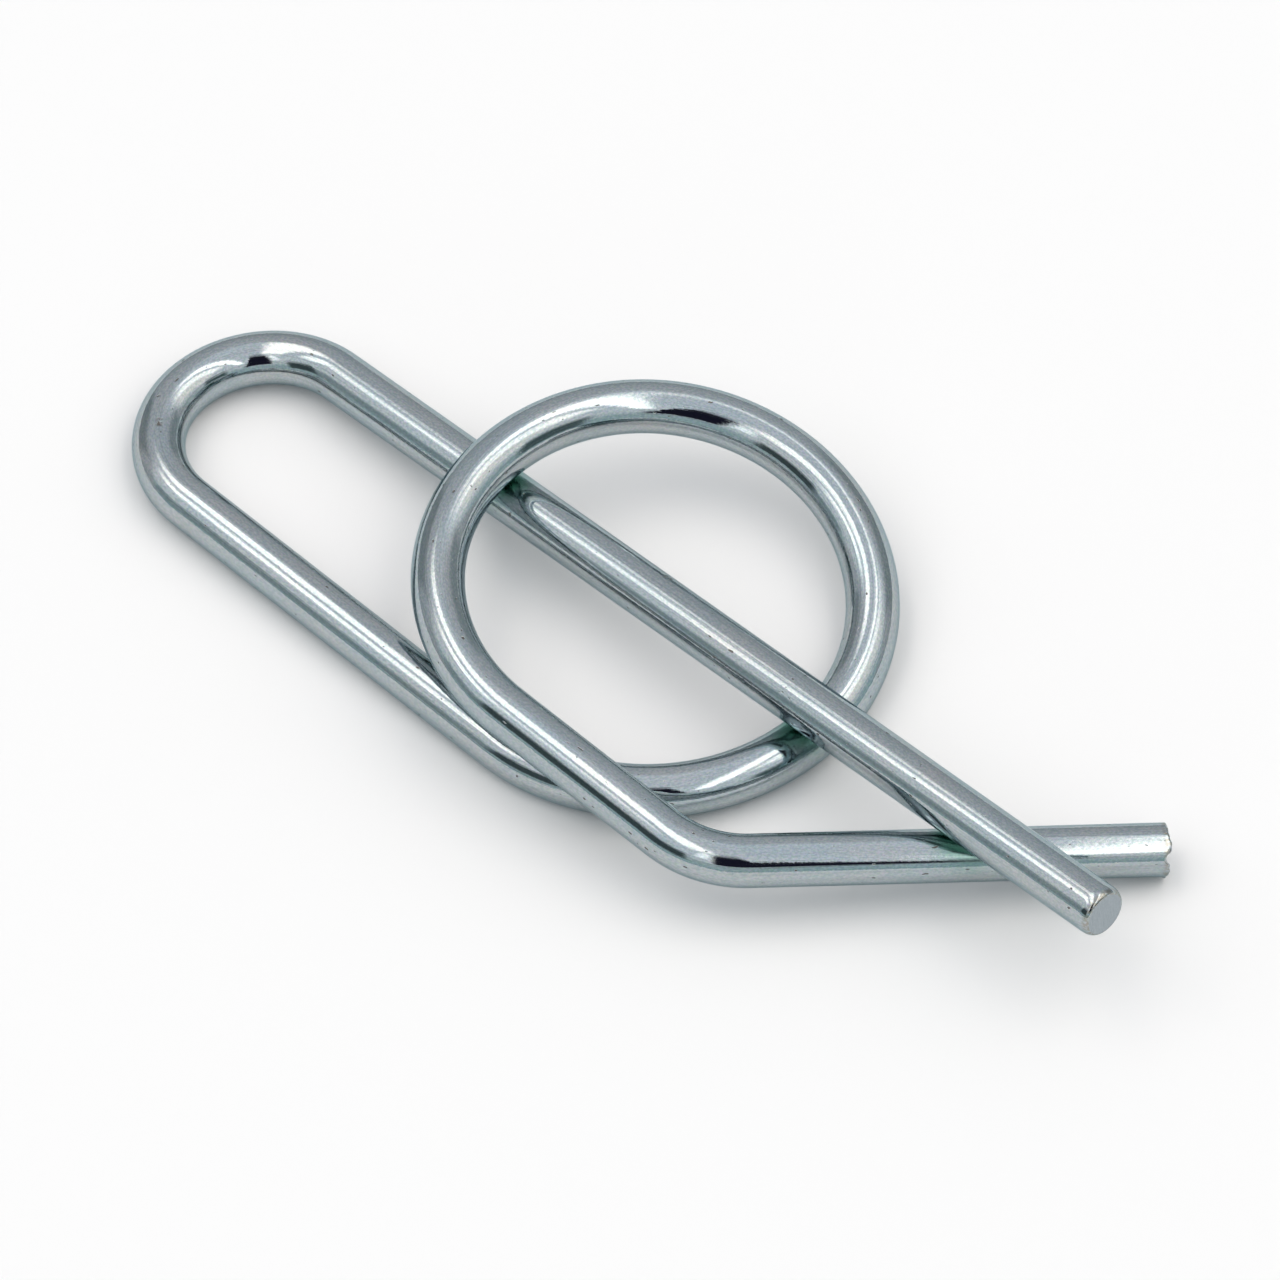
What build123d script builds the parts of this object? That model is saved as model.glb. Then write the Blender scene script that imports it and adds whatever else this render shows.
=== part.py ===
"""Ring cotter pin: one length of round spring wire, bent into a hairpin, a ring and a tail.

The straight leg goes through a cross hole in a shaft. The ring closes round the shaft,
and the tail springs in under the leg's tip and keeps the pin from working out.

The wire is drawn as a flat pattern, with the ring's middle at the pattern's origin. The
pattern is then folded along three lines parallel to Y, one at the hairpin's far end and
one at each side of the ring, so that the wire passes over and under itself. A place has
the same pattern coordinates in each of the folded planes. The stretch from the hairpin's
far end along the return leg to the ring's first side lies flat on the ground.
"""

from math import asin, cos, degrees, radians, sin, tan
import os

from build123d import *

# Wire
wire_diameter = 2.36

# Ring: it closes round a shaft, and turns a little past the full circle
shaft_diameter = 15.88
shaft_clearance = 0.36
ring_overturn_deg = 2.5

# Hairpin and leg
hairpin_inner_radius = 3.45
ring_to_hairpin = 19.3
leg_length = 47.6

# Exit from the ring, and the tail that locks under the leg
exit_length = 9.2
tail_bend_inner_radius = 4.0
tail_bend_deg = 45.6
tail_length = 18.0

# Clear gaps where the wire crosses itself
crossing_gap = 0.1
under_leg_gap = 0.42

# Cut ends: the tip is sheared clean, the tail is cropped and has a torn groove
tip_edge_radius = 0.2
tail_edge_radius = 0.1
groove_radius = 0.32
groove_depth = 0.17
groove_roll_deg = 48.0

# Quarter turns that the bends are made of
QUARTER_DEG = 90
HALF_DEG = 2 * QUARTER_DEG
THREE_QUARTERS_DEG = 3 * QUARTER_DEG

# Sizes of the wire's centre line
wire_radius = wire_diameter / 2
ring_radius = shaft_diameter / 2 + shaft_clearance + wire_radius
hairpin_radius = hairpin_inner_radius + wire_radius
tail_bend_radius = tail_bend_inner_radius + wire_radius

# Places in the flat pattern
return_y = -ring_radius
hairpin_y = return_y + hairpin_radius
leg_y = hairpin_y + hairpin_radius
hairpin_x = -ring_to_hairpin
hairpin_far_x = hairpin_x - hairpin_radius
leg_tip_x = hairpin_x + leg_length

# Where the tail crosses the leg in the flat pattern
exit_heading = radians(ring_overturn_deg)
tail_heading = exit_heading + radians(tail_bend_deg)
bend_middle_radius = ring_radius - tail_bend_radius
bend_middle_x = exit_length * cos(exit_heading) + bend_middle_radius * sin(exit_heading)
bend_middle_y = exit_length * sin(exit_heading) - bend_middle_radius * cos(exit_heading)
tail_start_x = bend_middle_x + tail_bend_radius * sin(tail_heading)
tail_start_y = bend_middle_y - tail_bend_radius * cos(tail_heading)
tail_crossing_x = tail_start_x + (leg_y - tail_start_y) / tan(tail_heading)

# Slopes against the leg that carry the ring under the leg, over it, and the tail under it
drop_under_leg = wire_diameter + under_leg_gap
rise_over_leg = wire_diameter + crossing_gap
leg_rise_deg = degrees(asin(drop_under_leg / (ring_radius - hairpin_far_x)))
ring_slope_deg = degrees(asin((drop_under_leg + rise_over_leg) / (2 * ring_radius)))
tail_slope_deg = degrees(asin(2 * rise_over_leg / (ring_radius + tail_crossing_x)))

# The pattern's origin lies where the finished pin is centred on the frame's origin
leg_rise = radians(leg_rise_deg)
pin_far_x = hairpin_far_x - wire_radius
pin_tip_x = hairpin_far_x + (leg_tip_x - hairpin_far_x) * cos(leg_rise) + wire_radius * sin(leg_rise)
pin_middle_x = (pin_far_x + pin_tip_x) / 2


def fold(plane, fold_x, angle_deg):
    """Turn a plane down about its own line at fold_x, keeping its pattern coordinates."""
    return Plane(plane.location * Pos(X=fold_x) * Rot(Y=angle_deg) * Pos(X=-fold_x))


# The return leg's plane lies on the ground, and the others fold off it
return_plane = Plane(origin=(-pin_middle_x, 0, wire_radius))
leg_plane = fold(return_plane, hairpin_far_x, -leg_rise_deg)
ring_plane = fold(return_plane, ring_radius, ring_slope_deg - leg_rise_deg)
tail_plane = fold(ring_plane, -ring_radius, tail_slope_deg - ring_slope_deg)

with BuildPart() as cotter_pin:
    # Leg and the hairpin's first quarter
    with BuildLine(leg_plane):
        leg = Line((leg_tip_x, leg_y), (hairpin_x, leg_y))
        CenterArc((hairpin_x, hairpin_y), hairpin_radius, QUARTER_DEG, QUARTER_DEG)

    # Hairpin's second quarter, the return leg and the ring's first quarter
    with BuildLine(return_plane):
        CenterArc((hairpin_x, hairpin_y), hairpin_radius, HALF_DEG, QUARTER_DEG)
        Line((hairpin_x, return_y), (0, return_y))
        CenterArc((0, 0), ring_radius, THREE_QUARTERS_DEG, QUARTER_DEG)

    # Half of the ring, rising from under the leg to over it
    with BuildLine(ring_plane):
        CenterArc((0, 0), ring_radius, 0, HALF_DEG)

    # Ring's last quarter, the straight exit, the bend and the tail
    with BuildLine(tail_plane):
        ring_end = CenterArc((0, 0), ring_radius, HALF_DEG, QUARTER_DEG + ring_overturn_deg)
        ring_exit = PolarLine(ring_end @ 1, exit_length, direction=ring_end % 1)
        tail_bend = JernArc(ring_exit @ 1, ring_exit % 1, tail_bend_radius, tail_bend_deg)
        tail = PolarLine(tail_bend @ 1, tail_length, direction=tail_bend % 1)

    # Round wire along the whole path
    with BuildSketch(Plane(origin=leg @ 0, z_dir=leg % 0)):
        Circle(wire_radius)
    sweep()

    # Rounded edges of the two cut ends
    end_edges = cotter_pin.edges().filter_by(GeomType.CIRCLE)
    fillet(end_edges.sort_by_distance(leg @ 0)[0], tip_edge_radius)
    fillet(end_edges.sort_by_distance(tail @ 1)[0], tail_edge_radius)

    # Torn groove across the tail's end
    tail_end = Plane(origin=tail @ 1, x_dir=tail_plane.z_dir, z_dir=tail % 1)
    groove_way = Plane(tail_end.location * Rot(Z=groove_roll_deg))
    groove_middle = groove_way.origin + groove_way.z_dir * (groove_radius - groove_depth)
    with BuildSketch(Plane(origin=groove_middle, z_dir=groove_way.x_dir)):
        Circle(groove_radius)
    extrude(amount=wire_diameter, both=True, mode=Mode.SUBTRACT)

cotter_pin.part.label = "cotter_pin"
os.makedirs("parts", exist_ok=True)
export_step(cotter_pin.part, "parts/cotter_pin.step")
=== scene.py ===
"""Ring cotter pin: the finished wire, a light tent round it, a pale floor and the camera.

Sizes are in metres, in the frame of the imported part. The wire is drawn as a flat pattern of
straight runs and tangent arcs, with the ring's middle at the pattern's origin, and the pattern
is folded along three lines parallel to Y, so that the wire passes over and under itself.
"""

from collections import namedtuple
from math import asin, ceil, cos, pi, radians, sin, tan

import bpy
import numpy as np
from mathutils import Matrix, Vector


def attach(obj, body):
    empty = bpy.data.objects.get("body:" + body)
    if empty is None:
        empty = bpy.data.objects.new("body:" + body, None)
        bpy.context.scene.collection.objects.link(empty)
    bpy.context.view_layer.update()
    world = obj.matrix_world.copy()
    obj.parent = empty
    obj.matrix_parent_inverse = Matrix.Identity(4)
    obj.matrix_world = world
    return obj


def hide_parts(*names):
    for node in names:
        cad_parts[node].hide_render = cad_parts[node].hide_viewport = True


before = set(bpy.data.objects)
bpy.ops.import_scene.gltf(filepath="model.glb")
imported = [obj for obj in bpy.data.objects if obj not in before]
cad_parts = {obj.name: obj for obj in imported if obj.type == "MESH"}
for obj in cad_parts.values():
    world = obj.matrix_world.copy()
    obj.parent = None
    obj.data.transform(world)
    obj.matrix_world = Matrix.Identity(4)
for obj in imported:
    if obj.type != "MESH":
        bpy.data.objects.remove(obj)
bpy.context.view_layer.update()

QUARTER = pi / 2
HALF = pi
FULL = 2 * pi

# Wire
wire_diameter = 0.00236

# Ring
shaft_diameter = 0.01588
shaft_clearance = 0.00036
ring_overturn = radians(2.5)

# Hairpin and leg
hairpin_inner_radius = 0.00345
ring_to_hairpin = 0.0193
leg_length = 0.0476

# Exit from the ring, and the tail that locks under the leg
exit_length = 0.0092
tail_bend_inner_radius = 0.004
tail_bend = radians(45.6)
tail_length = 0.018

# The tail curves gently away from the leg, by this angle at its end
tail_dip = radians(5)
tail_dip_roll = radians(35)

# Clear gaps where the wire crosses itself
crossing_gap = 0.0001
under_leg_gap = 0.00042

# Sheared tip, and the cropped tail with its torn groove, two lips and a burr
tip_edge_radius = 0.0002
tip_edge_length = 0.0005
tail_edge_radius = 0.0001
tail_edge_length = 0.0001
groove_radius = 0.00032
groove_depth = 0.00017
groove_roll = radians(48)
groove_shift = 0.00015
upper_lip_height = 0.0001
lower_lip_height = 0.00004
burr_reach = 0.0001
burr_width = radians(16)
burr_steepness = 4
tear_roughness = 0.00002
tear_phase = 1
tail_skirt = 0.0006

# Fineness of the wire's mesh
mesh_step = 0.00025
points_around = 72
edge_rings = 8
face_rings = 12
skirt_rings = 5

# Surface marks: widths round the wire, lengths along it and depths
die_line_width = 0.00011
die_line_length = 0.025
die_line_depth = 0.0000007
scratch_width = 0.00006
scratch_length = 0.015
scratch_depth = 0.0000006
grain_width = 0.00012
grain_length = 0.00025
grain_depth = 0.000002
wave_width = 0.0009
wave_length = 0.003
wave_depth = 0.000006
tint_width = 0.001
tint_length = 0.004
speck_width = 0.00008
speck_length = 0.00014
pit_size = 0.00016
pit_depth = 0.00001
shear_line_width = 0.00006
shear_line_length = 0.0008
shear_line_depth = 0.000006

# Single marks: place along the wire, angle round it, length and width
hairpin_scuff = (0.0582, radians(-8), 0.0006, 0.0004)
leg_nick = (0.0275, radians(33), 0.0005, 0.0004)
ring_pit = (0.1002, radians(57), 0.00016, 0.00022)
marks = [hairpin_scuff, leg_nick, ring_pit]

# Painted shade round the crossings, where the wire lies close on itself, and the browner rims of the cut
# ends
crossing_shade_core = 0.0007
crossing_shade_reach = 0.0021
rim_core = 0.0001
rim_reach = 0.00035

# Photograph's view: where the camera stands, what it looks at and how much it takes in
view_azimuth = radians(48.52)
view_elevation = radians(51.65)
view_roll = radians(-3.81)
view_middle = Vector((-0.000744, -0.001606, 0.00189))
view_width = 0.05548
camera_distance = 1.5
sensor_width_mm = 36.0

# Tints of the plating and its marks, of the cut faces and of the floor
zinc_tints = [
    (0.3, (0.388, 0.452, 0.478, 1)),
    (0.5, (0.405, 0.456, 0.474, 1)),
    (0.7, (0.430, 0.460, 0.470, 1)),
]
zinc_edge_tint = (0.56, 0.66, 0.69, 1)
scratch_tint = (0.24, 0.27, 0.28, 1)
# painted shade: dark green round the places where the wire crosses itself
painted_crossing_shade_tint = (0.11, 0.27, 0.21, 1)
scuff_tint = (0.16, 0.15, 0.14, 1)
rim_tint = (0.28, 0.24, 0.18, 1)
cut_tints = [(0.3, (0.32, 0.365, 0.395, 1)), (0.7, (0.39, 0.435, 0.465, 1))]
floor_level = 0.94

# How strongly the marks and the painted crossing shade show
speck_share = 0.15
speck_swing = 0.09
scratch_share = 0.25
rim_share = 0.6
faint_crossing_shade = 0.5

# Roughness of the plating and the cut faces, and what the painted crossing shade and scuffs add to it
zinc_roughness = (0.03, 0.08)
cut_roughness = (0.38, 0.52)
crossing_shade_dulling = 0.15
scuff_dulling = 0.3

# Parts of a noise's range: its usual span, and the spans over which marks and the painted crossing shade
# set in
noise_span = (0.3, 0.7)
scratch_span = (0.58, 0.68)
pit_span = (0.8, 0.86)
ragged_span = (0.36, 0.55)
crossing_shade_span = (0.3, 0.6)

# Walls and roof of the light tent from the horizon up, and where the dimmer back wall sets in on the roof
wall_tints = [
    (0.0, (0.47, 0.6, 0.615, 1)),
    (0.26, (0.51, 0.625, 0.64, 1)),
    (0.5, (0.94, 0.965, 0.98, 1)),
    (0.77, (0.97, 1.0, 1.045, 1)),
    (1.0, (0.885, 0.915, 0.975, 1)),
]
back_wall_tints = [
    (0.0, (0.475, 0.5, 0.515, 1)),
    (0.35, (0.565, 0.58, 0.605, 1)),
    (0.8, (0.68, 0.69, 0.725, 1)),
]
back_wall_span = (-0.45, -0.8)
roof_reach = 1.7
roof_lowest = 0.05

# Lamps on the roof, in heights of the roof above the pin: a pair on each side and a lit sheet
lamp_width = 0.28
slim_lamp_width = 0.16
sheet_width = 0.74
left_lamps_start = 0.16
left_lamp_gap = 0.18
right_lamps_start = 0.26
right_lamp_gap = 0.1
sheet_gap = 0.06
lamp_back = 0.45
inner_lamp_back = 0.65
lamp_soft = 0.035
lamp_fade = 0.16
lamp_warmth = 0.05

# Left edges of the lamps and the sheet
left_inner_edge = -left_lamps_start - lamp_width
left_outer_edge = left_inner_edge - left_lamp_gap - lamp_width
right_inner_edge = right_lamps_start
right_outer_edge = right_inner_edge + slim_lamp_width + right_lamp_gap
sheet_edge = right_outer_edge + lamp_width + sheet_gap

# The lamps from left to right, with their reach to the back and the front
Lamp = namedtuple("Lamp", "left width back front level")
lamps = [
    Lamp(left_outer_edge, lamp_width, back=lamp_back, front=0.15, level=2.4),
    Lamp(left_inner_edge, lamp_width, back=inner_lamp_back, front=0.4, level=2.4),
    Lamp(right_inner_edge, slim_lamp_width, back=lamp_back, front=1.15, level=2.9),
    Lamp(right_outer_edge, lamp_width, back=lamp_back, front=0.55, level=2.15),
    Lamp(sheet_edge, sheet_width, back=lamp_back, front=0.6, level=1.25),
]

# Openings and patches in the walls, in degrees round from the camera and up, with a top at each side
Opening = namedtuple("Opening", "sides bottom tops soft tint")
opening_dark = (0.016, 0.015, 0.03, 1)
wall_lamp_tint = (1.919, 1.9, 1.881, 1)
left_corner = Opening(sides=(-150, -122), bottom=0, tops=(32, 32), soft=8, tint=(0.33, 0.36, 0.375, 1))
left_patch = Opening(sides=(-96, -74), bottom=6, tops=(24, 24), soft=5, tint=(0.35, 0.42, 0.435, 1))
left_opening = Opening(sides=(-74, -40), bottom=10, tops=(34, 34), soft=6, tint=(0.075, 0.1, 0.105, 1))
wall_lamp = Opening(sides=(-34, -24), bottom=38, tops=(58, 58), soft=4, tint=wall_lamp_tint)
camera_opening = Opening(sides=(-22, 3.5), bottom=22, tops=(63.5, 63.5), soft=8.5, tint=opening_dark)
slanting_side = Opening(sides=(3.5, 12), bottom=21, tops=(48, 30), soft=2.5, tint=opening_dark)
right_opening = Opening(sides=(36, 66), bottom=4, tops=(30, 30), soft=6, tint=(0.115, 0.16, 0.165, 1))
right_corner = Opening(sides=(112, 146), bottom=0, tops=(30, 30), soft=8, tint=(0.36, 0.4, 0.415, 1))
left_openings = [left_corner, left_patch, left_opening, wall_lamp]
openings = [*left_openings, camera_opening, slanting_side, right_opening, right_corner]
opening_soft = radians(2.5)

# Floor
floor_size = 8.0
floor_drop = 0.00001

# Sizes of the wire's centre line
wire_radius = wire_diameter / 2
ring_radius = shaft_diameter / 2 + shaft_clearance + wire_radius
hairpin_radius = hairpin_inner_radius + wire_radius
tail_bend_radius = tail_bend_inner_radius + wire_radius
ring_length = (FULL + ring_overturn) * ring_radius
tail_whole_length = exit_length + tail_bend * tail_bend_radius + tail_length
wire_length = leg_length + HALF * hairpin_radius + ring_to_hairpin + ring_length + tail_whole_length

# Places in the flat pattern
return_y = -ring_radius
hairpin_y = return_y + hairpin_radius
leg_y = hairpin_y + hairpin_radius
hairpin_x = -ring_to_hairpin
hairpin_far_x = hairpin_x - hairpin_radius
leg_tip_x = hairpin_x + leg_length

# Exit, tail bend and tail in the flat pattern
exit_heading = ring_overturn
tail_heading = exit_heading + tail_bend
exit_start_x = ring_radius * sin(exit_heading)
exit_start_y = -ring_radius * cos(exit_heading)
exit_end_x = exit_start_x + exit_length * cos(exit_heading)
exit_end_y = exit_start_y + exit_length * sin(exit_heading)
bend_middle_x = exit_end_x - tail_bend_radius * sin(exit_heading)
bend_middle_y = exit_end_y + tail_bend_radius * cos(exit_heading)
tail_start_x = bend_middle_x + tail_bend_radius * sin(tail_heading)
tail_start_y = bend_middle_y - tail_bend_radius * cos(tail_heading)
tail_end_x = tail_start_x + tail_length * cos(tail_heading)
tail_end_y = tail_start_y + tail_length * sin(tail_heading)
tail_crossing_x = tail_start_x + (leg_y - tail_start_y) / tan(tail_heading)

# Slopes that carry the ring under the leg, over it, and the tail under it
drop_under_leg = wire_diameter + under_leg_gap
rise_over_leg = wire_diameter + crossing_gap
leg_rise = asin(drop_under_leg / (ring_radius - hairpin_far_x))
ring_slope = asin((drop_under_leg + rise_over_leg) / (2 * ring_radius))
tail_slope = asin(2 * rise_over_leg / (ring_radius + tail_crossing_x))

# The pattern's origin lies where the finished pin is centred on the frame's origin
pin_far_x = hairpin_far_x - wire_radius
pin_tip_x = hairpin_far_x + (leg_tip_x - hairpin_far_x) * cos(leg_rise) + wire_radius * sin(leg_rise)
pin_middle_x = (pin_far_x + pin_tip_x) / 2


def fold(plane, fold_x, angle):
    """Turn a plane down about its own line at fold_x, keeping its pattern coordinates."""
    to_line = Matrix.Translation((fold_x, 0, 0))
    return plane @ to_line @ Matrix.Rotation(angle, 4, "Y") @ to_line.inverted()


return_plane = Matrix.Translation((-pin_middle_x, 0, wire_radius))
leg_plane = fold(return_plane, hairpin_far_x, -leg_rise)
ring_plane = fold(return_plane, ring_radius, ring_slope - leg_rise)
tail_plane = fold(ring_plane, -ring_radius, tail_slope - ring_slope)


def direction(plane, *parts):
    """A direction given in a folded plane, as a numpy vector in the part's frame."""
    return np.array(plane.to_3x3() @ Vector(parts))


def crossing(upper_plane, lower_plane, x):
    """The place midway between two stretches that cross on the leg's line at x."""
    place = Vector((x, leg_y, 0))
    return (upper_plane @ place + lower_plane @ place) / 2


# Directions at the tail's end: along its groove, over its two lips, and opposite to its dip
tail_up = direction(tail_plane, 0, 0, 1)
tail_along = direction(tail_plane, cos(tail_heading), sin(tail_heading), 0)
tail_across = np.cross(tail_along, tail_up)
groove_along = cos(groove_roll) * tail_up + sin(groove_roll) * tail_across
lip_up = sin(groove_roll) * tail_up - cos(groove_roll) * tail_across
undip = cos(tail_dip_roll) * tail_up + sin(tail_dip_roll) * tail_across

crossings = [
    crossing(ring_plane, leg_plane, -ring_radius),
    crossing(leg_plane, ring_plane, ring_radius),
    crossing(leg_plane, tail_plane, tail_crossing_x),
]


# Centre line


def lift(plane, places, headings, travelled, length):
    """Carry a stretch of the flat pattern onto its folded plane."""
    plane = np.array(plane)
    flat_to_frame = plane[:3, :2].T
    return places @ flat_to_frame + plane[:3, 3], headings @ flat_to_frame, travelled, length


def run(plane, start, end):
    """Places and headings along a straight run, without its last place."""
    start, end = np.array(start), np.array(end)
    length = np.linalg.norm(end - start)
    count = ceil(length / mesh_step)
    share = np.arange(count) / count
    headings = np.tile((end - start) / length, (count, 1))
    return lift(plane, start + np.outer(share, end - start), headings, share * length, length)


def arc(plane, middle, radius, start, turn):
    """Places and headings along a left-hand arc, without its last place."""
    length = radius * turn
    count = ceil(length / mesh_step)
    share = np.arange(count) / count
    angle = start + share * turn
    outward = np.stack([np.cos(angle), np.sin(angle)], axis=1)
    headings = np.stack([-np.sin(angle), np.cos(angle)], axis=1)
    return lift(plane, np.array(middle) + radius * outward, headings, share * length, length)


def centre_line():
    """Places, headings and distances along the wire, from the leg's tip to the tail's end."""
    hairpin = (hairpin_x, hairpin_y)
    bend_middle = (bend_middle_x, bend_middle_y)
    tail_end = (tail_end_x, tail_end_y)
    stretches = [
        run(leg_plane, (leg_tip_x, leg_y), (hairpin_x, leg_y)),
        arc(leg_plane, hairpin, hairpin_radius, QUARTER, QUARTER),
        arc(return_plane, hairpin, hairpin_radius, HALF, QUARTER),
        run(return_plane, (hairpin_x, return_y), (0, return_y)),
        arc(return_plane, (0, 0), ring_radius, HALF + QUARTER, QUARTER),
        arc(ring_plane, (0, 0), ring_radius, 0, HALF),
        arc(tail_plane, (0, 0), ring_radius, HALF, QUARTER + ring_overturn),
        run(tail_plane, (exit_start_x, exit_start_y), (exit_end_x, exit_end_y)),
        arc(tail_plane, bend_middle, tail_bend_radius, exit_heading - QUARTER, tail_bend),
        run(tail_plane, (tail_start_x, tail_start_y), tail_end),
    ]
    places, headings, travelled, so_far = [], [], [], 0.0
    for stretch_places, stretch_headings, stretch_travelled, length in stretches:
        places.append(stretch_places)
        headings.append(stretch_headings)
        travelled.append(so_far + stretch_travelled)
        so_far += length
    places.append([np.array(tail_plane @ Vector((*tail_end, 0)))])
    headings.append(headings[-1][-1:])
    travelled.append([so_far])
    return sprung_tail(np.concatenate(places), np.concatenate(headings), np.concatenate(travelled))


def sprung_tail(places, headings, travelled):
    """The centre line with its tail curved away from the leg."""
    past = np.clip(travelled - (travelled[-1] - tail_length), 0, None)
    slope = tail_dip * past / tail_length
    sunk = slope * past / 2
    headings = headings - np.outer(np.tan(slope), undip)
    headings = headings / np.linalg.norm(headings, axis=1)[:, None]
    return places - np.outer(sunk, undip), headings, travelled


def carried_sides(headings):
    """Two sideways directions at each place, carried along the wire without twist."""
    side = direction(leg_plane, 0, 0, 1)
    sides = []
    for heading in headings:
        side = side - heading * (side @ heading)
        side = side / np.linalg.norm(side)
        sides.append(side)
    sides = np.array(sides)
    return sides, np.cross(headings, sides)


# Cut ends


def tip_face(offset):
    """Height of the sheared tip's face, and how far its rim is pushed outward."""
    flat = np.zeros(len(offset))
    return flat, flat


def hump(value, middle, half_width):
    """A smooth hump, 1 at its middle and 0 from half_width on."""
    share = np.clip(np.abs(value - middle) / half_width, 0, 1)
    return np.cos(QUARTER * share) ** 2


def tail_face(offset):
    """Height of the cropped tail's face, and how far its rim is pushed outward."""
    upward, across = offset @ lip_up, offset @ groove_along
    chord = np.sqrt(np.clip(groove_radius**2 - (upward + groove_shift) ** 2, 0, None))
    groove = np.clip(chord - (groove_radius - groove_depth), 0, None)
    upper_lip = upper_lip_height * hump(upward, wire_radius / 3, wire_radius / 2)
    lower_lip = lower_lip_height * hump(upward, -wire_radius * 2 / 3, wire_radius / 3)
    tear = np.sin(FULL * upward / groove_radius + tear_phase) * np.sin(FULL * across / wire_radius)
    around = np.arctan2(across, -upward)
    outward_share = np.linalg.norm(offset, axis=1) / wire_radius
    burr = burr_reach * hump(around, 0, burr_width) * outward_share**burr_steepness
    return upper_lip + lower_lip + tear_roughness * tear - groove, burr


def spokes(side, other):
    """Directions from the wire's middle to each point round it."""
    angle = FULL * np.arange(points_around) / points_around
    return np.outer(np.cos(angle), side) + np.outer(np.sin(angle), other)


def end_rings(place, outward, spoke, edge_radius, edge_length, skirt, face):
    """Rings of a cut end, from the round wire over its edge towards the face's middle."""
    flat_radius = wire_radius - edge_radius
    edge_angle = QUARTER * np.arange(1, edge_rings + 1) / edge_rings
    face_share = np.arange(face_rings - 1, 0, -1) / face_rings
    radii = [*(flat_radius + edge_radius * np.cos(edge_angle)), *(flat_radius * face_share)]
    drops = [*(edge_length * (1 - np.sin(edge_angle))), *np.zeros(face_rings - 1)]
    rim_height, rim_burr = face(wire_radius * spoke)
    rings = []
    for share in np.arange(1, skirt_rings + 1) / skirt_rings:
        height = -skirt + share * (skirt + rim_height - edge_length)
        reach = wire_radius + rim_burr * share**burr_steepness
        rings.append(place + reach[:, None] * spoke + np.outer(height, outward))
    for radius, drop in zip(radii, drops):
        offset = radius * spoke
        height, burr = face(offset)
        rings.append(place + offset + burr[:, None] * spoke + np.outer(height - drop, outward))
    return rings


# Wire mesh


def ring_faces(ring_count):
    """Quads between neighbouring rings of points."""
    step = np.arange(points_around)
    after = (step + 1) % points_around
    faces = []
    for ring in range(ring_count - 1):
        low, high = ring * points_around, (ring + 1) * points_around
        faces += np.stack([low + step, low + after, high + after, high + step], axis=1).tolist()
    return faces


def cap_faces(first, middle, outward):
    """Triangles from a ring of points to the face's middle."""
    step = np.arange(points_around)
    after = (step + 1) % points_around
    near, far = (step, after) if outward else (after, step)
    return np.stack([np.full(points_around, middle), first + near, first + far], axis=1).tolist()


def wire_mesh():
    """The whole wire as one closed mesh, with each point's place on the unbent wire."""
    places, headings, travelled = centre_line()
    sides, others = carried_sides(headings)
    length = travelled[-1]
    tip_skirt = 2 * tip_edge_length
    body = np.nonzero((travelled > tip_skirt) & (travelled < length - tail_skirt))[0]
    rings = [places[i] + wire_radius * spokes(sides[i], others[i]) for i in body]
    tip_spokes, tail_spokes = spokes(sides[0], others[0]), spokes(sides[-1], others[-1])
    tip_edge, tail_edge = (tip_edge_radius, tip_edge_length), (tail_edge_radius, tail_edge_length)
    tip = end_rings(places[0], -headings[0], tip_spokes, *tip_edge, tip_skirt, tip_face)
    tail = end_rings(places[-1], headings[-1], tail_spokes, *tail_edge, tail_skirt, tail_face)
    rings = tip[::-1] + rings + tail
    tail_middle = places[-1] + headings[-1] * tail_face(np.zeros((1, 3)))[0]
    points = np.concatenate([*rings, [places[0], tail_middle]])

    # Place of each point on the unbent wire: across it in x and y, along it in z
    nearest = [0] * len(tip) + body.tolist() + [-1] * len(tail)
    rows = np.repeat(nearest, points_around).tolist() + [0, -1]
    offset = points - places[rows]
    unbent = np.stack(
        [
            (offset * sides[rows]).sum(axis=1),
            (offset * others[rows]).sum(axis=1),
            travelled[rows] + (offset * headings[rows]).sum(axis=1),
        ],
        axis=1,
    )

    last_ring = (len(rings) - 1) * points_around
    sides_of_wire = ring_faces(len(rings))
    tip_cap = cap_faces(0, len(points) - 2, outward=False)
    tail_cap = cap_faces(last_ring, len(points) - 1, outward=True)
    mesh = bpy.data.meshes.new("cotter_pin_wire")
    mesh.from_pydata(points.tolist(), [], sides_of_wire + tip_cap + tail_cap)
    attribute = mesh.attributes.new("unbent", "FLOAT_VECTOR", "POINT")
    attribute.data.foreach_set("vector", unbent.ravel())

    # The cut faces have their own finish
    tip_cut = (face_rings - 1) * points_around
    tail_cut = len(sides_of_wire) - tip_cut
    cut = np.zeros(len(mesh.polygons), dtype=np.int32)
    cut[:tip_cut] = 1
    cut[tail_cut:] = 1
    mesh.polygons.foreach_set("material_index", cut)
    mesh.shade_smooth()
    mesh.update()
    return mesh


# Shader nodes


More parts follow.
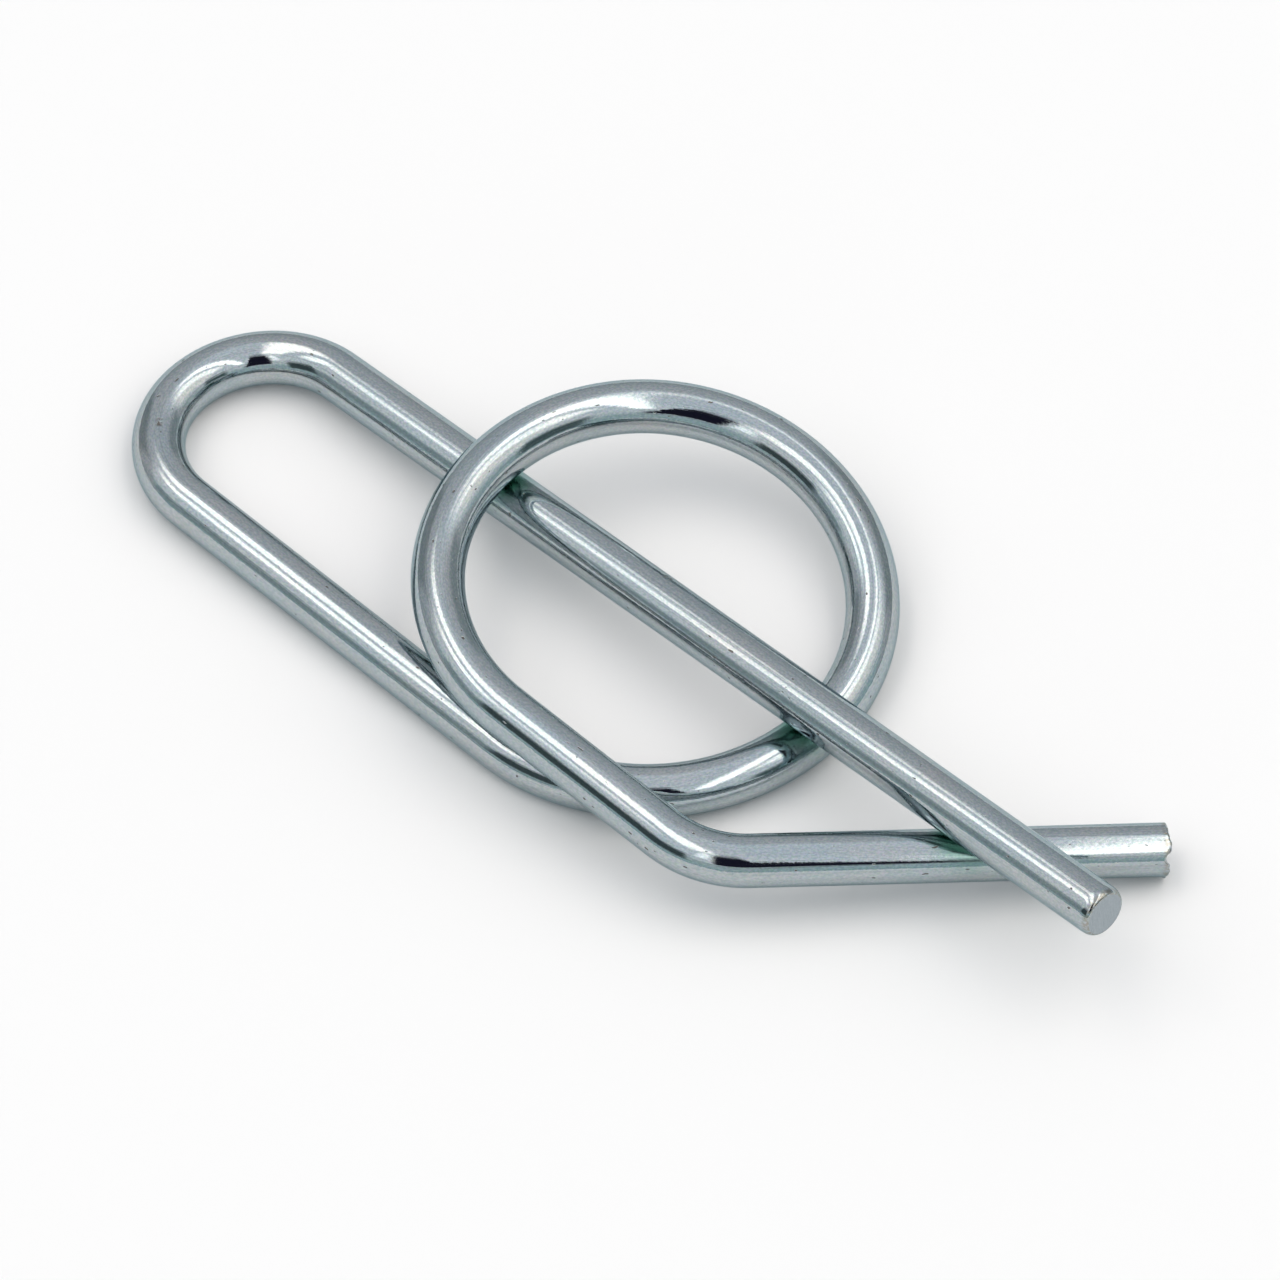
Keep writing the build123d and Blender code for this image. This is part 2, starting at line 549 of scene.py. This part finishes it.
class Nodes:
    """Makes nodes in one tree, and hands back the socket that the next one reads."""

    def __init__(self, owner):
        owner.use_nodes = True
        self.tree = owner.node_tree
        self.tree.nodes.clear()

    def add(self, kind, inputs=None, **settings):
        """A new node with its settings, and its inputs set or linked."""
        made = self.tree.nodes.new(kind)
        for name, value in settings.items():
            setattr(made, name, value)
        for name, value in (inputs or {}).items():
            if isinstance(value, bpy.types.NodeSocket):
                self.tree.links.new(value, made.inputs[name])
            else:
                made.inputs[name].default_value = value
        return made

    def math(self, operation, *values):
        """A number worked out from numbers."""
        return self.add("ShaderNodeMath", dict(enumerate(values)), operation=operation).outputs[0]

    def vector(self, operation, *values):
        """A vector worked out from vectors."""
        made = self.add("ShaderNodeVectorMath", dict(enumerate(values)), operation=operation)
        return made.outputs["Vector"]

    def distance(self, first, second):
        """The distance between two places."""
        made = self.add("ShaderNodeVectorMath", {0: first, 1: second}, operation="DISTANCE")
        return made.outputs["Value"]

    def split(self, vector):
        """The three parts of a vector."""
        return self.add("ShaderNodeSeparateXYZ", {0: vector}).outputs[:]

    def noise(self, place, size, detail, output="Fac"):
        """Noise whose grains have this size along each axis."""
        scaled = self.vector("DIVIDE", place, size)
        inputs = {"Vector": scaled, "Scale": 1, "Detail": detail}
        return self.add("ShaderNodeTexNoise", inputs).outputs[output]

    def spread(self, value, low, high, to_low=0, to_high=1):
        """A value that goes smoothly from to_low at low to to_high at high."""
        inputs = {"Value": value, "From Min": low, "From Max": high, "To Min": to_low, "To Max": to_high}
        made = self.add("ShaderNodeMapRange", inputs, interpolation_type="SMOOTHSTEP")
        return made.outputs["Result"]

    def mix(self, mask, first, second, blend="MIX"):
        """A second colour laid over a first one where the mask is 1."""
        inputs = {0: mask, 6: first, 7: second}
        return self.add("ShaderNodeMix", inputs, data_type="RGBA", blend_type=blend).outputs[2]

    def ramp(self, value, stops):
        """A colour read from stops of place and colour."""
        made = self.add("ShaderNodeValToRGB", {"Fac": value})
        elements = made.color_ramp.elements
        while len(elements) < len(stops):
            elements.new(1)
        for element, (place, colour) in zip(elements, stops):
            element.position = place
            element.color = colour
        return made.outputs["Color"]

    def profile(self, value, reach, soft, pieces):
        """Colour and cover of a value from -reach to reach, from pieces: two edges and their colours."""
        stops = []
        last_high = -reach
        for low, high, first, last in pieces:
            if low - last_high < 2 * soft:
                stops = stops[:-1]
            else:
                stops.append((low - soft, (*first[:3], 0)))
            stops += [(low + soft, first), (high - soft, last), (high + soft, (*last[:3], 0))]
            last_high = high
        share = self.math("MULTIPLY_ADD", value, 0.5 / reach, 0.5)
        colour = self.ramp(share, [((place / reach + 1) / 2, level) for place, level in stops])
        return colour, colour.node.outputs["Alpha"]

    def bump(self, height, depth, normal=None):
        """A normal tilted by a height map of this depth."""
        inputs = {"Height": height, "Distance": depth}
        if normal is not None:
            inputs["Normal"] = normal
        return self.add("ShaderNodeBump", inputs).outputs["Normal"]


def grey(level, warmth=0.0):
    """A near-neutral colour, warmer or cooler by a small share."""
    return (level * (1 + warmth), level, level * (1 - warmth), 1)


# Materials


def mark_mask(nodes, unbent, mark):
    """1 at a single mark's place on the wire."""
    along, around, length, width = mark
    x, y, z = nodes.split(unbent)
    away = nodes.math("ABSOLUTE", nodes.math("SUBTRACT", z, along))
    facing_x = nodes.math("MULTIPLY", x, cos(around) / wire_radius)
    facing_y = nodes.math("MULTIPLY", y, sin(around) / wire_radius)
    facing = nodes.math("ADD", facing_x, facing_y)
    in_length = nodes.spread(away, length / 2, length / 4)
    in_width = nodes.spread(facing, cos(width / wire_radius / 2), 1)
    return nodes.math("MULTIPLY", in_length, in_width)


def zinc_material():
    """Bright zinc plating on drawn wire, with clear passivation."""
    material = bpy.data.materials.new("zinc_plating")
    nodes = Nodes(material)
    unbent = nodes.add("ShaderNodeAttribute", attribute_name="unbent").outputs["Vector"]
    place = nodes.add("ShaderNodeTexCoord").outputs["Object"]

    # Lines and scratches left by the drawing die, grain of the plating and slow waves of the wire
    die_lines = nodes.noise(unbent, (die_line_width, die_line_width, die_line_length), 3)
    scratches = nodes.noise(unbent, (scratch_width, scratch_width, scratch_length), 1)
    scratches = nodes.spread(scratches, *scratch_span)
    grain = nodes.noise(unbent, (grain_width, grain_width, grain_length), 2)
    waves = nodes.noise(unbent, (wave_width, wave_width, wave_length), 1)
    tint = nodes.noise(unbent, (tint_width, tint_width, tint_length), 2)
    specks = (speck_width, speck_width, speck_length)
    speck_tint = nodes.noise(unbent, specks, 1, "Color")
    speck_light = nodes.noise(unbent, specks, 2)
    speck_light = nodes.spread(speck_light, *noise_span, 1 - speck_swing, 1 + speck_swing)

    # Pits, scuffs, painted shade round the crossings, and the cut ends' rims
    pits = nodes.noise(unbent, (pit_size, pit_size, 2 * pit_size), 0)
    pits = nodes.spread(pits, *pit_span)
    ragged = nodes.spread(grain, *ragged_span)
    scuffs = pits
    for mark in marks:
        scuff = nodes.math("MULTIPLY", mark_mask(nodes, unbent, mark), ragged)
        scuffs = nodes.math("MAXIMUM", scuff, scuffs)
    # painted shade: dark green, fading out from each crossing
    painted_crossing_shade = 0.0
    for middle in crossings:
        near = nodes.spread(nodes.distance(place, middle), crossing_shade_reach, crossing_shade_core)
        painted_crossing_shade = nodes.math("MAXIMUM", near, painted_crossing_shade)
    painted_crossing_shade = nodes.math("MULTIPLY", painted_crossing_shade, nodes.spread(tint, *crossing_shade_span, faint_crossing_shade, 1))
    along = nodes.split(unbent)[2]
    from_end = nodes.math("MINIMUM", along, nodes.math("SUBTRACT", wire_length, along))
    rims = nodes.math("MULTIPLY", nodes.spread(from_end, rim_reach, rim_core), ragged)

    zinc = nodes.ramp(tint, zinc_tints)
    zinc = nodes.mix(speck_share, zinc, speck_tint, "OVERLAY")
    zinc = nodes.mix(1, zinc, speck_light, "MULTIPLY")
    zinc = nodes.mix(nodes.math("MULTIPLY", scratches, scratch_share), zinc, scratch_tint)
    # painted shade at the crossings, laid over the plating's colour
    zinc = nodes.mix(painted_crossing_shade, zinc, painted_crossing_shade_tint)
    zinc = nodes.mix(scuffs, zinc, scuff_tint)
    # browner towards the rims of the cut ends
    zinc = nodes.mix(nodes.math("MULTIPLY", rims, rim_share), zinc, rim_tint)

    roughness = nodes.spread(die_lines, *noise_span, *zinc_roughness)
    roughness = nodes.math("ADD", roughness, nodes.math("MULTIPLY", painted_crossing_shade, crossing_shade_dulling))
    roughness = nodes.math("ADD", roughness, nodes.math("MULTIPLY", scuffs, scuff_dulling))

    normal = nodes.bump(waves, wave_depth)
    normal = nodes.bump(die_lines, die_line_depth, normal)
    normal = nodes.bump(nodes.math("SUBTRACT", 1, scratches), scratch_depth, normal)
    normal = nodes.bump(grain, grain_depth, normal)
    normal = nodes.bump(nodes.math("SUBTRACT", 1, scuffs), pit_depth, normal)

    shader = nodes.add(
        "ShaderNodeBsdfPrincipled",
        {
            "Base Color": zinc,
            "Metallic": 1,
            "Roughness": roughness,
            "Specular Tint": zinc_edge_tint,
            "Normal": normal,
        },
    )
    nodes.add("ShaderNodeOutputMaterial", {"Surface": shader.outputs["BSDF"]})
    return material


def cut_material():
    """Plated faces of the cut ends, dulled by the shear's lines."""
    material = bpy.data.materials.new("zinc_cut_face")
    nodes = Nodes(material)
    unbent = nodes.add("ShaderNodeAttribute", attribute_name="unbent").outputs["Vector"]
    shear_lines = nodes.noise(unbent, (shear_line_length, shear_line_width, shear_line_length), 3)
    grain = nodes.noise(unbent, (grain_width,) * 3, 2)
    colour = nodes.ramp(shear_lines, cut_tints)
    roughness = nodes.spread(grain, *noise_span, *cut_roughness)
    normal = nodes.bump(shear_lines, shear_line_depth)
    normal = nodes.bump(grain, grain_depth, normal)
    shader = nodes.add(
        "ShaderNodeBsdfPrincipled",
        {"Base Color": colour, "Metallic": 1, "Roughness": roughness, "Normal": normal},
    )
    nodes.add("ShaderNodeOutputMaterial", {"Surface": shader.outputs["BSDF"]})
    return material


def floor_material():
    """Plain pale paper."""
    material = bpy.data.materials.new("pale_paper")
    nodes = Nodes(material)
    paper = nodes.add("ShaderNodeBsdfDiffuse", {"Color": grey(floor_level)})
    nodes.add("ShaderNodeOutputMaterial", {"Surface": paper.outputs["BSDF"]})
    return material


# Light tent


def light_tent():
    """A tent of pale walls, with lamps along its roof and openings in its walls."""
    world = bpy.data.worlds.new("light_tent")
    bpy.context.scene.world = world
    nodes = Nodes(world)

    # Directions in the tent: towards the camera, to its right and up
    outward = nodes.add("ShaderNodeTexCoord").outputs["Generated"]
    inputs = {"Vector": outward, "Angle": QUARTER - view_azimuth}
    turned = nodes.add("ShaderNodeVectorRotate", inputs, rotation_type="Z_AXIS").outputs["Vector"]
    front, right, up = nodes.split(turned)
    azimuth = nodes.math("ARCTAN2", right, front)
    elevation = nodes.math("ARCSINE", up)

    # Place on the roof, in heights of the roof above the pin
    height = nodes.math("MAXIMUM", up, roof_lowest)
    roof_front = nodes.math("DIVIDE", front, height)
    roof_right = nodes.math("DIVIDE", right, height)

    # Walls and roof, dimmer towards the back
    colour = nodes.ramp(up, wall_tints)
    back_wall = nodes.ramp(up, back_wall_tints)
    colour = nodes.mix(nodes.spread(roof_front, *back_wall_span), colour, back_wall)

    # Lamps along the roof
    levels, reaches = [], []
    for lamp in lamps:
        edges = (lamp.left, lamp.left + lamp.width)
        level, reach = grey(lamp.level, lamp_warmth), (lamp.back, lamp.front, 0, 1)
        levels.append((*edges, level, level))
        reaches.append((*edges, reach, reach))
    light, lit = nodes.profile(roof_right, roof_reach, lamp_soft, levels)
    back, forward, _ = nodes.split(nodes.profile(roof_right, roof_reach, lamp_soft, reaches)[0])
    past_back = nodes.math("ADD", roof_front, back)
    past_front = nodes.math("SUBTRACT", roof_front, forward)
    lit = nodes.math("MULTIPLY", lit, nodes.spread(past_back, -lamp_fade, lamp_fade))
    lit = nodes.math("MULTIPLY", lit, nodes.spread(past_front, lamp_fade, -lamp_fade))
    colour = nodes.mix(lit, colour, light)

    # Openings in the walls
    levels, limits = [], []
    for opening in openings:
        edges = [radians(side) for side in opening.sides]
        ends = [(radians(opening.bottom), radians(top), radians(opening.soft), 1) for top in opening.tops]
        levels.append((*edges, opening.tint, opening.tint))
        limits.append((*edges, *ends))
    shade, cover = nodes.profile(azimuth, HALF, opening_soft, levels)
    bottom, top, soft = nodes.split(nodes.profile(azimuth, HALF, opening_soft, limits)[0])
    past_top = nodes.math("DIVIDE", nodes.math("SUBTRACT", elevation, top), soft)
    past_bottom = nodes.math("SUBTRACT", elevation, bottom)
    cover = nodes.math("MULTIPLY", cover, nodes.spread(past_top, 1, -1))
    cover = nodes.math("MULTIPLY", cover, nodes.spread(past_bottom, -opening_soft, opening_soft))
    colour = nodes.mix(cover, colour, shade)

    shining = nodes.add("ShaderNodeBackground", {"Color": colour})
    nodes.add("ShaderNodeOutputWorld", {"Surface": shining.outputs["Background"]})


# Pieces, floor and camera


def add_object(name, mesh, *materials):
    """An object of this mesh in the scene, with its materials."""
    for material in materials:
        mesh.materials.append(material)
    made = bpy.data.objects.new(name, mesh)
    bpy.context.scene.collection.objects.link(made)
    return made


def add_wire():
    """The wire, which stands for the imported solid."""
    wire = add_object("cotter_pin_wire", wire_mesh(), zinc_material(), cut_material())
    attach(wire, "root")
    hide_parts("cotter_pin")


def add_floor():
    """A plain floor that reaches past every view."""
    half = floor_size / 2
    corners = [(-half, -half), (half, -half), (half, half), (-half, half)]
    mesh = bpy.data.meshes.new("floor")
    mesh.from_pydata([(x, y, -floor_drop) for x, y in corners], [], [(0, 1, 2, 3)])
    add_object("floor", mesh, floor_material())


def add_camera():
    """The photograph's camera."""
    data = bpy.data.cameras.new("camera")
    data.sensor_width = sensor_width_mm
    data.lens = sensor_width_mm * camera_distance / view_width
    data.clip_end = floor_size
    camera = bpy.data.objects.new("camera", data)
    bpy.context.scene.collection.objects.link(camera)
    camera.matrix_world = (
        Matrix.Translation(view_middle)
        @ Matrix.Rotation(view_azimuth, 4, "Z")
        @ Matrix.Rotation(QUARTER - view_elevation, 4, "X")
        @ Matrix.Rotation(view_roll, 4, "Z")
        @ Matrix.Translation((0, 0, camera_distance))
    )
    bpy.context.scene.camera = camera


add_wire()
add_floor()
light_tent()
add_camera()
bpy.context.scene.view_settings.view_transform = "Standard"
